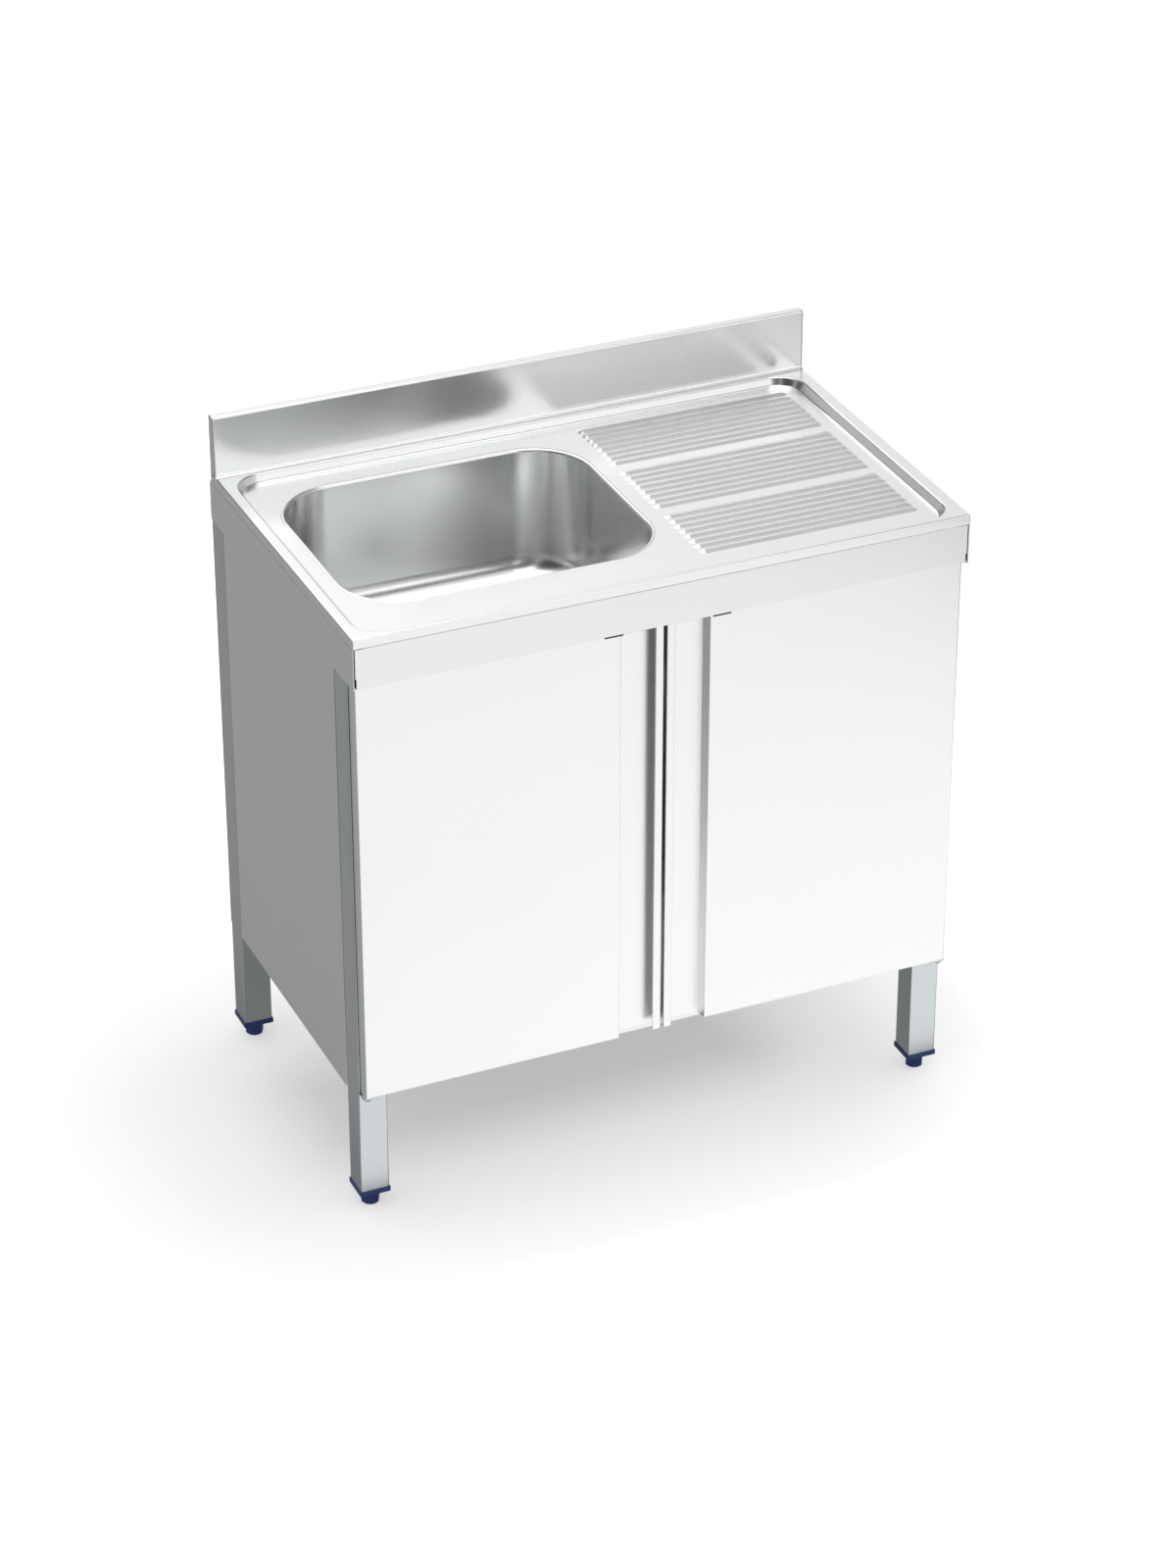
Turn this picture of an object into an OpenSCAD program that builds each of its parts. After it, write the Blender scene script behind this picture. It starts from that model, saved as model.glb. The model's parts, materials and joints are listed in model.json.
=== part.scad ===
/* [Overall] */
// Width of the unit
unit_w = 850; // [800:5:1200]
// Depth from the front edge of the worktop to the back panel
unit_d = 515; // [505:5:640]
// Height of the worktop above the floor
top_z = 865; // [760:5:950]
// Height of the upstand above the worktop
upstand_h = 85; // [40:5:200]
// Thickness of the upstand from its front sheet to its rear sheet
upstand_t = 15.6; // [13:0.2:20]
// Distance from the rear sheet of the upstand to the back of the unit
upstand_back = 8; // [5:1:20]

/* [Sheet metal] */
// Thickness of the pressed worktop and bowl
top_t = 1.2; // [0.8:0.1:1.5]
// Thickness of the cabinet sheets
panel_t = 1; // [0.8:0.1:1.2]
// Height of the turned-down edge of the worktop
edge_h = 14; // [13:0.5:20]
// Rounding of the worktop edge
edge_r = 2.5; // [2:0.1:3]
// Width of the folds that turn inwards
fold_w = 14; // [10:1:15]

/* [Pressed tray] */
// Rim at the left of the tray
rim_left_w = 15.5; // [12:0.5:25]
// Rim at the right of the tray
rim_right_w = 19; // [12:0.5:40]
// Rim at the front of the tray
rim_front_w = 7; // [6.5:0.5:15]
// Rim between the tray and the upstand
rim_rear_w = 11.4; // [10:0.2:16]
// Depth of the tray
tray_deep = 11; // [6:0.5:11.5]
// Width of the sloping step round the tray
tray_run = 6.5; // [5:0.5:8]
// Corner radius of the tray in plan
tray_r = 40; // [32:1:50]

/* [Bowl] */
// Distance from the left side to the bowl opening
bowl_x = 45.4; // [39:0.1:60]
// Distance from the front edge to the bowl opening
bowl_y = 86.8; // [78:0.2:92]
// Width of the bowl opening
bowl_w = 427.7; // [360:0.1:435]
// Length of the bowl opening from front to back
bowl_l = 348.1; // [320:0.1:360]
// Depth of the bowl below the tray
bowl_deep = 185; // [140:5:250]
// Corner radius of the bowl opening
bowl_r = 85; // [60:1:110]
// Radius of the rolled lip
lip_r = 4; // [2:0.5:8]
// Radius between the bowl wall and its floor
bowl_floor_r = 30; // [15:1:40]

/* [Drainer] */
// Distance from the right side to the drainer ribs
rib_right = 45; // [40:1:80]
// Distance from the bowl opening to the drainer ribs
rib_from_bowl = 22.9; // [15:0.1:60]
// Distance from one rib to the next
rib_pitch = 15.1; // [14:0.1:16]
// Width of a rib
rib_w = 13.4; // [10:0.1:13.6]
// Height of a rib
rib_h = 2; // [1:0.1:3]
// Ribs in a group
ribs_in_group = 8; // [4:1:8]
// Groups of ribs
rib_groups = 3; // [1:1:3]
// Distance from one group of ribs to the next
group_pitch = 138.5; // [130:0.5:145]

/* [Frame] */
// Side of a square leg
leg_w = 40; // [35:1:40]
// Wall of a leg
leg_wall = 1.5; // [1:0.1:2]
// Outer corner radius of a leg
leg_r = 2.5; // [2:0.1:4]
// Distance from the front edge to the front legs
leg_front = 29.8; // [29.6:0.1:30.4]
// Height of a top rail
rail_h = 40; // [25:1:45]
// Thickness of a top rail
rail_t = 20; // [15:1:25]
// Distance of a rail from the outer face of the legs
rail_in = 9; // [6:0.5:12]

/* [Feet] */
// Height from the floor to the underside of the foot cap
knob_h = 22.2; // [18:0.1:30]
// Width of the foot knob across its corners
knob_w = 25.8; // [20:0.2:30]
// Height of the flange of the foot cap
cap_h = 7; // [4:0.5:12]
// Overhang of the foot cap round the leg
cap_lap = 1; // [0:0.1:1.2]
// Depth of the foot cap inside the leg
cap_plug = 36; // [20:1:60]
// Diameter of the threaded stud of a foot
stud_d = 10; // [8:0.5:12]
// Length of the threaded stud above the knob
stud_l = 62; // [40:1:80]

/* [Cabinet] */
// Height of the front apron below the worktop edge
apron_h = 56.1; // [40:0.1:90]
// Inset of the side sheets behind the worktop edge
side_in = 0.45; // [0.2:0.05:1]
// Height of the lower edge of the side panels
side_z = 174.5; // [150:0.5:200]
// Dark slot between a side panel and the rear leg
side_slot = 5; // [1:0.5:8]
// Height of the bottom shelf
shelf_z = 206; // [200:1:260]
// Height of the folded edge of the shelf
shelf_h = 26; // [16:1:28]
// Width of the service opening in the back panel
service_w = 300; // [200:5:400]
// Height of the service opening in the back panel
service_h = 220; // [120:5:260]
// Height of the lower edge of the service opening
service_z = 400; // [300:5:420]

/* [Doors] */
// Gap between a door and the side of the unit
door_side = 4.6; // [4:0.1:5.5]
// Gap between the two doors
door_gap = 4.4; // [3:0.1:6]
// Gap above a door
door_head = 2; // [2:0.1:4]
// Height of the lower edge of the doors
door_z = 188.5; // [187.5:0.5:200]
// Thickness of a door
door_t = 18; // [17:0.1:18.4]
// Distance of the door front behind the worktop edge
door_in = 10; // [9.5:0.1:10.2]
// Outer radius of the folded door edge
door_r = 2.4; // [2:0.1:3]
// Distance from the free edge of a door to its main face
grip_w = 59.6; // [45:0.2:80]
// Depth of the grip channel
grip_deep = 16; // [12:0.5:16]
// Slant of the channel wall
grip_slant = 3; // [0:0.5:6]
// Width of the lip in front of the grip channel
lip_w = 11.3; // [8:0.1:16]

/* [Hinges] */
// Diameter of a pivot pin
pin_d = 6; // [4:0.5:6]
// Radial clearance of a pivot pin in its bush
pin_clear = 0.05; // [0.02:0.01:0.1]
// Distance from the door edge to its pivot
pivot_x = 5.4; // [5.3:0.1:6]
// Distance from the door front to its pivot
pivot_y = 8.5; // [8.2:0.1:9]
// Wall of a pivot bush
bush_wall = 1.15; // [1:0.05:1.25]
// Length of a pivot bush
bush_l = 12; // [8:0.5:20]
// Thickness of a hinge plate
plate_t = 2.5; // [2:0.1:3]

/* [Catches] */
// Distance from the middle of the unit to the middle of a catch
catch_x = 74.7; // [74:0.1:90]
// Width of a catch
catch_w = 25; // [16:0.5:27]
// Height of the notch that a catch shows in
notch_h = 1.5; // [1:0.1:3]

/* [Waste] */
// Outer diameter of the waste flange
waste_d = 70; // [60:1:90]
// Outer diameter of the waste throat
throat_d = 49; // [46:0.5:54]
// Outer diameter of the tailpiece
tail_d = 40; // [32:0.5:40]
// Length of the tailpiece below the throat
tail_l = 80; // [40:5:150]

/* [Hidden] */

// Fineness of round surfaces
$fn = 64;
// Small excess that lets a cut pass right through
past = 1;
// Seat between pieces that rest on each other through a thin gap
seat = 0.3;
// Clearance of a screwed or plugged piece in its hole
loose = 0.2;

// Heights that the worktop gives to the cabinet
edge_z = top_z - edge_h;
shell_z = edge_z - seat;
leg_top = shell_z - panel_t - seat;
apron_z = shell_z - apron_h;
tray_z = top_z - tray_deep;
upstand_z = top_z + upstand_h;

// Depths that the back of the unit gives to the upstand and the rear legs
splash_back = unit_d - upstand_back;
splash_front = splash_back - upstand_t;
// Place where the flat worktop sheet runs on into the upstand
splash_join = splash_front - 6;
splash_base_r = 4;
splash_top_r = 3;
cap_slot = 4.4;
cap_in = 0.3;
leg_left = side_in + panel_t + loose;
leg_rear = unit_d - panel_t - leg_w;

// Outline of the tray at its upper edge
tray_x1 = unit_w - rim_right_w;
tray_y1 = splash_front - rim_rear_w;
tray_top_r = 3;
tray_foot_r = 4.5;
// Flat strips of the step profile that join the rim and the tray floor
step_out = 3.5;
step_in = 4.5;

// Bowl below the tray
bowl_cx = bowl_x + bowl_w / 2;
bowl_cy = bowl_y + bowl_l / 2;
bowl_z = tray_z - bowl_deep;

// Ribs are slices of round bars and share their radius
rib_r = (rib_w * rib_w / 4 + rib_h * rib_h) / (2 * rib_h);
rib_x0 = bowl_x + bowl_w + rib_from_bowl;
rib_x1 = unit_w - rib_right;
rib_mid_y = unit_d / 2 - 1;

// Drainer stiffeners are hat sections
hat_h = 19;
hat_w = 30;
hat_lap = 15;

// Doors
door_free = (unit_w - door_gap) / 2;
door_top = apron_z - door_head;
door_back = door_in + door_t;
skin_back = door_back - panel_t;
grip_x = door_free - grip_w;
grip_y = door_in + grip_deep;
lip_x = door_free - lip_w;
hem_gap = 0.5;
hem_l = 6;
fold_r = 1;

// Pivots
pivot_cx = door_side + pivot_x;
pivot_cy = door_in + pivot_y;
pin_r = pin_d / 2;
bush_in_r = pin_r + pin_clear;
bush_out_r = bush_in_r + bush_wall;
washer_t = 1.2;
washer_r = 6;
hinge_z = door_z - seat - washer_t - plate_t;
head_h = 3;
plate_x0 = 3;
plate_x1 = 23;
plate_y0 = 12;
top_plate_x1 = 32;
top_plate_l = 22;
// Place of the two plate screws: from the plate end, and in front of and behind the pivot
plate_screw_in = 6;
plate_screw_front = 6;
plate_screw_back = 4;
plate_screw_x = top_plate_x1 - plate_screw_in;
plate_screw_y = [pivot_cy - plate_screw_front, pivot_cy + plate_screw_back];
screw_r = 2;
screw_head_r = 3.6;
screw_head_h = 2.2;

// Catches and strikes
catch_y0 = 1;
catch_l = 25;
catch_h = 13;
catch_drop = apron_z - door_top - 0.5;
ear_l = 6;
ear_h = 2.4;
catch_screw_r = 1.5;
strike_w = 18;
strike_l = 11;
strike_t = 1.5;
strike_lap = 2;
strike_low = 0.1;
strike_y0 = door_in + panel_t + strike_lap;

// Waste
throat_r = throat_d / 2;
tail_r = tail_d / 2;
tail_wall = 1.8;
flange_t = 2.5;
gasket_t = 2;
nut_h = 10;
throat_l = 48;
spigot_r = tail_r - 1;
spigot_l = 20;
grid_z = bowl_z - 9;
grid_t = 2;
grid_hole_r = 4.5;
plug_lap = 4;
plug_t = 3;
plug_deep = 7;
plug_stem_r = 4;
plug_stem_l = 5;
plug_knob_r = 5.5;

// Shelf front behind the leg fronts, and the buffers on it
shelf_back = 0.6;
buffer_x = 120;
buffer_low = 9;
buffer_r = 5;

// Feet
stud_r = stud_d / 2;
stud_clear = 0.05;
knob_chamfer = 2;

function unit(v) = v / norm(v);
function spot(p) = [p[0], p[1]];
function heading(a, b) = unit(spot(b) - spot(a));
function left_of(d) = [-d[1], d[0]];
function side_of(a, b) = a[0] * b[1] - a[1] * b[0];
function swing(v, q) = [v[0] * cos(q) - v[1] * sin(q), v[0] * sin(q) + v[1] * cos(q)];
function flip(list) = [for (i = [len(list) - 1:-1:0]) list[i]];

// One bend of a folded sheet, on the line that lies off to the left of the path
function bend(a, b, c, off, steps = 5) =
    let (d1 = heading(a, b), d2 = heading(b, c), turn = atan2(side_of(d1, d2), d1 * d2))
    let (s = sign(turn), hub = spot(b) - d1 * b[2] * tan(abs(turn) / 2) + left_of(d1) * b[2] * s)
    [for (k = [0:steps]) hub + swing(left_of(d1) * (off - b[2] * s), turn * k / steps)];

function sheet_side(path, off) = let (n = len(path)) concat(
    [spot(path[0]) + left_of(heading(path[0], path[1])) * off],
    [for (i = [1:n - 2]) each bend(path[i - 1], path[i], path[i + 1], off)],
    [spot(path[n - 1]) + left_of(heading(path[n - 2], path[n - 1])) * off]);

// Section of a folded sheet: the path runs along its middle, and a bend point holds its radius too
module folded(path, t) {
    polygon(concat(sheet_side(path, t / 2), flip(sheet_side(path, -t / 2))));
}

// Quarter of a ring, open towards the side that the signs name
module quarter_ring(c, r_out, r_in, sx, sy) {
    intersection() {
        translate(c) difference() {
            circle(r = r_out);
            circle(r = r_in);
        }
        translate([c[0] + min(0, sx * 2 * r_out), c[1] + min(0, sy * 2 * r_out)]) square(2 * r_out);
    }
}

// The unit is drawn from its front left corner and then set about its middle
module set_about_middle() {
    translate([-unit_w / 2, -unit_d / 2, 0]) children();
}

module across() {
    translate([unit_w, 0, 0]) mirror([1, 0, 0]) children();
}

module front_to_back() {
    translate([0, leg_front + leg_rear + leg_w, 0]) mirror([0, 1, 0]) children();
}

// Sweeps a section of a wall round a rectangle with round corners; its x is measured
// from the corner centre outwards
module swept_round(x0, y0, x1, y1, r) {
    for (c = [[x0 + r, y0 + r, 180], [x1 - r, y0 + r, 270], [x1 - r, y1 - r, 0], [x0 + r, y1 - r, 90]]) {
        translate([c[0], c[1], 0]) rotate([0, 0, c[2]]) rotate_extrude(angle = 90) children();
    }
    long = x1 - x0 - 2 * r;
    wide = y1 - y0 - 2 * r;
    translate([x0 + r, y1 - r, 0]) rotate([90, 0, 90]) linear_extrude(long) children();
    translate([x1 - r, y0 + r, 0]) rotate([90, 0, 270]) linear_extrude(long) children();
    translate([x1 - r, y1 - r, 0]) rotate([90, 0, 0]) linear_extrude(wide) children();
    translate([x0 + r, y0 + r, 0]) rotate([90, 0, 180]) linear_extrude(wide) children();
}

// Plate with round corners
module round_plate(x0, y0, x1, y1, r, z, h) {
    for (x = [x0 + r, x1 - r], y = [y0 + r, y1 - r]) translate([x, y, z]) cylinder(r = r, h = h);
    translate([x0 + r, y0, z]) cube([x1 - x0 - 2 * r, y1 - y0, h]);
    translate([x0, y0 + r, z]) cube([x1 - x0, y1 - y0 - 2 * r, h]);
}

// Block whose upper front and side edges and front corners are round
module soft_block(inset, y1, z0, r) {
    x1 = unit_w - inset;
    z1 = top_z - inset;
    translate([inset + r, inset + r, z0]) cube([x1 - inset - 2 * r, y1 - inset - r, z1 - z0]);
    translate([inset, inset + r, z0]) cube([x1 - inset, y1 - inset - r, z1 - z0 - r]);
    translate([inset + r, inset, z0]) cube([x1 - inset - 2 * r, r, z1 - z0 - r]);
    translate([inset + r, inset + r, z1 - r]) rotate([0, 90, 0]) cylinder(r = r, h = x1 - inset - 2 * r);
    for (x = [inset + r, x1 - r]) translate([x, inset + r, 0]) {
        translate([0, 0, z0]) cylinder(r = r, h = z1 - z0 - r);
        translate([0, 0, z1 - r]) sphere(r = r);
        translate([0, 0, z1 - r]) rotate([-90, 0, 0]) cylinder(r = r, h = y1 - inset - r);
    }
}

// Round bars that the drainer ribs are slices of
module rib_bars(r) {
    for (g = [0:rib_groups - 1], i = [0:ribs_in_group - 1]) {
        y = rib_mid_y + (g - (rib_groups - 1) / 2) * group_pitch + (i - (ribs_in_group - 1) / 2) * rib_pitch;
        translate([rib_x0 + rib_w / 2, y, tray_z + rib_h - rib_r]) {
            rotate([0, 90, 0]) cylinder(r = r, h = rib_x1 - rib_x0 - rib_w);
            sphere(r = r);
            translate([rib_x1 - rib_x0 - rib_w, 0, 0]) sphere(r = r);
        }
    }
}

// Slab that holds the part of the rib bars near the tray floor
module rib_slab(z0) {
    translate([rib_x0 - rib_w, rim_front_w, z0])
        cube([rib_x1 - rib_x0 + 2 * rib_w, tray_y1 - rim_front_w, 2 * rib_h + 2 * top_t]);
}

// Turned-down rim of the worktop, open where the tray sinks in
module rim() {
    difference() {
        soft_block(0, splash_back, edge_z, edge_r);
        soft_block(top_t, splash_back + past, edge_z + top_t, edge_r - top_t);
        translate([fold_w, fold_w, edge_z - past]) cube([unit_w - 2 * fold_w, unit_d, edge_h / 2]);
        round_plate(rim_left_w - step_out, rim_front_w - step_out, tray_x1 + step_out, tray_y1 + step_out,
            tray_r + step_out, tray_z, edge_h);
        translate([edge_r, splash_join, edge_z + 2 * top_t])
            cube([unit_w - 2 * edge_r, unit_d - splash_join, edge_h]);
    }
}

// Sloping step down from the rim to the tray floor
module tray_step() {
    swept_round(rim_left_w, rim_front_w, tray_x1, tray_y1, tray_r)
        folded([[tray_r + step_out, top_z - top_t / 2], [tray_r, top_z - top_t / 2, tray_top_r - top_t / 2],
            [tray_r - tray_run, tray_z - top_t / 2, tray_foot_r + top_t / 2],
            [tray_r - tray_run - step_in, tray_z - top_t / 2]], top_t);
}

module tray_floor() {
    in = tray_run + step_in;
    difference() {
        round_plate(rim_left_w + in, rim_front_w + in, tray_x1 - in, tray_y1 - in, tray_r - in,
            tray_z - top_t, top_t);
        round_plate(bowl_x, bowl_y, bowl_x + bowl_w, bowl_y + bowl_l, bowl_r,
            tray_z - top_t - past, top_t + 2 * past);
    }
    intersection() {
        rib_bars(rib_r);
        rib_slab(tray_z - top_t / 2);
    }
}

// Upstand: the sheet turns up at the rear, back over the top and down behind
module upstand() {
    mid = top_t / 2;
    difference() {
        rotate([90, 0, 90]) linear_extrude(unit_w)
            folded([[splash_join, top_z - mid], [splash_front + mid, top_z - mid, splash_base_r + mid],
                [splash_front + mid, upstand_z - mid, splash_top_r - mid],
                [splash_back - mid, upstand_z - mid, splash_top_r - mid],
                [splash_back - mid, edge_z + mid, edge_r - mid],
                [splash_back - upstand_t + top_t, edge_z + mid]], top_t);
        for (x = [-past, unit_w - edge_r])
            translate([x, splash_join - past, edge_z + top_t])
                cube([edge_r + past, upstand_t, edge_h - top_t]);
    }
}

module worktop() {
    color("silver") difference() {
        union() {
            rim();
            tray_step();
            tray_floor();
            upstand();
        }
        intersection() {
            rib_bars(rib_r - top_t);
            rib_slab(tray_z - 2 * top_t);
        }
    }
}

module splash_end_cap() {
    mid = panel_t / 2;
    y1 = splash_back - top_t;
    y0 = splash_front + top_t + cap_slot;
    color("darkgray") translate([0, 0, top_z]) linear_extrude(upstand_h - top_t)
        folded([[cap_in + mid, y1], [cap_in + mid, y0 + mid, fold_r],
            [cap_in + fold_w / 2, y0 + mid]], panel_t);
}

// Section of the bowl wall: rolled lip, wall, and the round foot of the wall
module bowl_wall() {
    wall = bowl_r - lip_r;
    quarter_ring([bowl_r, tray_z - lip_r], lip_r, lip_r - top_t, -1, 1);
    translate([wall, bowl_z + bowl_floor_r]) square([top_t, bowl_deep - bowl_floor_r - lip_r]);
    quarter_ring([wall - bowl_floor_r, bowl_z + bowl_floor_r], bowl_floor_r + top_t, bowl_floor_r, 1, -1);
    translate([wall - bowl_floor_r - step_in, bowl_z - top_t]) square([step_in, top_t]);
}

module bowl() {
    in = lip_r + bowl_floor_r + step_in;
    color("silver") {
        swept_round(bowl_x, bowl_y, bowl_x + bowl_w, bowl_y + bowl_l, bowl_r) bowl_wall();
        difference() {
            round_plate(bowl_x + in, bowl_y + in, bowl_x + bowl_w - in, bowl_y + bowl_l - in,
                bowl_r - in, bowl_z - top_t, top_t);
            translate([bowl_cx, bowl_cy, bowl_z - top_t - past])
                cylinder(r = throat_r + loose, h = top_t + 2 * past);
        }
    }
}

module waste_flange() {
    bore = spigot_r + pin_clear;
    color("lightgray") translate([bowl_cx, bowl_cy, 0]) difference() {
        union() {
            translate([0, 0, bowl_z]) cylinder(r = waste_d / 2, h = flange_t);
            translate([0, 0, bowl_z + flange_t - throat_l]) cylinder(r = throat_r, h = throat_l);
        }
        translate([0, 0, grid_z]) cylinder(r = bore, h = throat_l);
        translate([0, 0, grid_z - grid_t - throat_l]) cylinder(r = bore, h = throat_l);
        for (i = [0:6]) rotate([0, 0, 60 * i]) translate([i < 6 ? bore * 0.6 : 0, 0, grid_z - grid_t - past])
            cylinder(r = grid_hole_r, h = grid_t + 2 * past);
    }
}

module waste_gasket() {
    color("black") translate([bowl_cx, bowl_cy, bowl_z - top_t - gasket_t]) difference() {
        cylinder(r = waste_d / 2 - 1, h = gasket_t);
        translate([0, 0, -past]) cylinder(r = throat_r, h = gasket_t + 2 * past);
    }
}

module waste_nut() {
    color("dimgray") translate([bowl_cx, bowl_cy, bowl_z - top_t - gasket_t - nut_h]) difference() {
        cylinder(r = waste_d / 2 - 1, h = nut_h, $fn = 8);
        translate([0, 0, -past]) cylinder(r = throat_r, h = nut_h + 2 * past);
    }
}

// Pipe with a spigot that fits inside the throat and a shoulder that butts against it
module waste_tailpiece() {
    color("whitesmoke") translate([bowl_cx, bowl_cy, bowl_z + flange_t - throat_l - tail_l]) difference() {
        union() {
            cylinder(r = tail_r, h = tail_l);
            cylinder(r = spigot_r, h = tail_l + spigot_l);
        }
        translate([0, 0, -past]) cylinder(r = spigot_r - tail_wall, h = tail_l + spigot_l + 2 * past);
    }
}

module waste_plug() {
    color("silver") translate([bowl_cx, bowl_cy, bowl_z + flange_t]) {
        translate([0, 0, seat]) cylinder(r = tail_r + plug_lap, h = plug_t);
        translate([0, 0, -plug_deep]) cylinder(r = spigot_r - seat, h = plug_deep + seat);
        translate([0, 0, seat + plug_t]) cylinder(r = plug_stem_r, h = plug_stem_l);
        translate([0, 0, seat + plug_t + plug_stem_l + plug_stem_r]) sphere(r = plug_knob_r);
    }
}

// Section of a folded hat: two flanges at the height z1 and a trough below them
module hat_section(half, deep, z1) {
    folded([[-half - hat_lap, z1], [-half, z1, fold_r], [-half, z1 - deep, fold_r],
        [half, z1 - deep, fold_r], [half, z1, fold_r], [half + hat_lap, z1]], panel_t);
}

// Two stiffeners under the drainer
module drainer_stiffeners() {
    mid = panel_t / 2;
    z1 = tray_z - top_t - mid;
    y0 = leg_front + rail_in + rail_t + past;
    long = tray_y1 - tray_run - step_in - y0;
    color("gray") for (f = [0.25, 0.75])
        translate([rib_x0 + f * (rib_x1 - rib_x0), y0 + long, 0]) rotate([90, 0, 0]) linear_extrude(long)
            hat_section(hat_w / 2, hat_h, z1);
}

// Front left leg; the others are its mirror images
module leg() {
    z0 = knob_h + cap_h;
    color("silver") difference() {
        round_plate(leg_left, leg_front, leg_left + leg_w, leg_front + leg_w, leg_r, z0, leg_top - z0);
        translate([leg_left + leg_wall, leg_front + leg_wall, z0 - past])
            cube([leg_w - 2 * leg_wall, leg_w - 2 * leg_wall, leg_top - z0 + 2 * past]);
    }
}

module foot_cap() {
    plug = leg_w - 2 * leg_wall - 2 * loose;
    color("navy") translate([leg_left + leg_w / 2, leg_front + leg_w / 2, knob_h]) difference() {
        union() {
            translate([-leg_w / 2 - cap_lap, -leg_w / 2 - cap_lap, 0])
                cube([leg_w + 2 * cap_lap, leg_w + 2 * cap_lap, cap_h]);
            translate([-plug / 2, -plug / 2, 0]) cube([plug, plug, cap_h + cap_plug]);
        }
        translate([0, 0, -past]) cylinder(r = stud_r + stud_clear, h = cap_h + cap_plug + 2 * past);
    }
}

module levelling_foot() {
    flat_h = knob_h - seat;
    color("midnightblue") translate([leg_left + leg_w / 2, leg_front + leg_w / 2, 0]) {
        intersection() {
            cylinder(r = knob_w / 2, h = flat_h, $fn = 6);
            cylinder(r1 = knob_w / 2 - knob_chamfer, r2 = knob_w / 2 - knob_chamfer + flat_h, h = flat_h);
        }
        translate([0, 0, flat_h]) cylinder(r = stud_r, h = stud_l);
    }
}

// Tube with its length along X
module rail(x0, x1, y0) {
    color("silver") translate([x0, y0, leg_top - rail_h]) difference() {
        cube([x1 - x0, rail_t, rail_h]);
        translate([-past, leg_wall, leg_wall])
            cube([x1 - x0 + 2 * past, rail_t - 2 * leg_wall, rail_h - 2 * leg_wall]);
    }
}

module top_rail_front() {
    rail(leg_left + leg_w, unit_w - leg_left - leg_w, leg_front + rail_in);
}

module top_rail_rear() {
    front_to_back() top_rail_front();
}

module top_rail_side() {
    y0 = leg_front + leg_w;
    translate([leg_left + rail_in + rail_t, 0, 0]) rotate([0, 0, 90]) rail(y0, leg_rear, 0);
}

module front_apron() {
    mid = panel_t / 2;
    x0 = side_in + 2 * panel_t + hem_gap / 2 + 1.2;
    y0 = side_in + 0.25;
    slot_h = 15;
    slot_w = 1.3;
    color("silver") difference() {
        translate([x0, 0, 0]) rotate([90, 0, 90]) linear_extrude(unit_w - 2 * x0)
            folded([[y0 + fold_w, shell_z - mid], [y0 + mid, shell_z - mid, 2 * fold_r],
                [y0 + mid, apron_z + mid, 2 * fold_r], [leg_front - 4 * seat, apron_z + mid]], panel_t);
        for (x = [0, unit_w - fold_w - 2]) translate([x, y0 + panel_t, shell_z - 2 * panel_t])
            cube([fold_w + 2, leg_front, 3 * panel_t]);
        for (x = [0, unit_w - x0 - slot_w]) translate([x, -past, apron_z - past])
            cube([x0 + slot_w, leg_front + past, slot_h + past]);
        for (x = [unit_w / 2 - catch_x, unit_w / 2 + catch_x]) {
            translate([x - catch_w / 2 - loose, -past, apron_z - past])
                cube([catch_w + 2 * loose, catch_y0 + catch_l + past + loose, notch_h + past]);
            for (s = [-1, 1])
                translate([x + s * (catch_w + ear_l) / 2, catch_y0 + catch_l / 2, apron_z - past])
                    cylinder(r = catch_screw_r, h = panel_t + 2 * past);
        }
        for (m = [0, 1]) translate([m * unit_w, 0, 0]) mirror([m, 0, 0]) {
            translate([pivot_cx, pivot_cy, apron_z - past])
                cylinder(r = pin_r + seat, h = panel_t + 2 * past);
            for (y = plate_screw_y) translate([plate_screw_x, y, apron_z - past])
                cylinder(r = screw_r, h = panel_t + 2 * past);
        }
    }
}

// Left side sheet: a deep upper band with a hemmed front edge, and a panel between the legs
module side_panel() {
    mid = panel_t / 2;
    x = side_in + mid;
    hem_x = x + panel_t + hem_gap / 2;
    front = side_in + 0.15 + mid;
    hem_r = (hem_x - x) / 2 - 0.01;
    y0 = leg_front + leg_w + 0.7;
    y1 = leg_rear - side_slot;
    color("silver") {
        translate([0, 0, apron_z]) linear_extrude(shell_z - apron_z)
            folded([[x, unit_d], [x, front, hem_r], [hem_x, front, hem_r], [hem_x, 12]], panel_t);
        translate([x, 2, shell_z - panel_t]) cube([fold_w, unit_d - 6, panel_t]);
        translate([0, 0, side_z]) linear_extrude(apron_z - side_z)
            folded([[fold_w, y0 + mid], [x, y0 + mid, fold_r], [x, y1 - mid, fold_r],
                [fold_w, y1 - mid]], panel_t);
        translate([x, y0 + 2, side_z]) cube([fold_w, y1 - y0 - 4, panel_t]);
    }
}

module back_panel() {
    y0 = unit_d - panel_t;
    x0 = leg_left;
    color("silver") {
        difference() {
            translate([x0, y0, side_z]) cube([unit_w - 2 * x0, panel_t, shell_z - side_z]);
            translate([bowl_cx - service_w / 2, y0 - past, service_z])
                cube([service_w, 2 * past + panel_t, service_h]);
        }
        translate([fold_w + 3, y0 - fold_w, shell_z - panel_t])
            cube([unit_w - 2 * fold_w - 6, fold_w + panel_t, panel_t]);
    }
}

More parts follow.
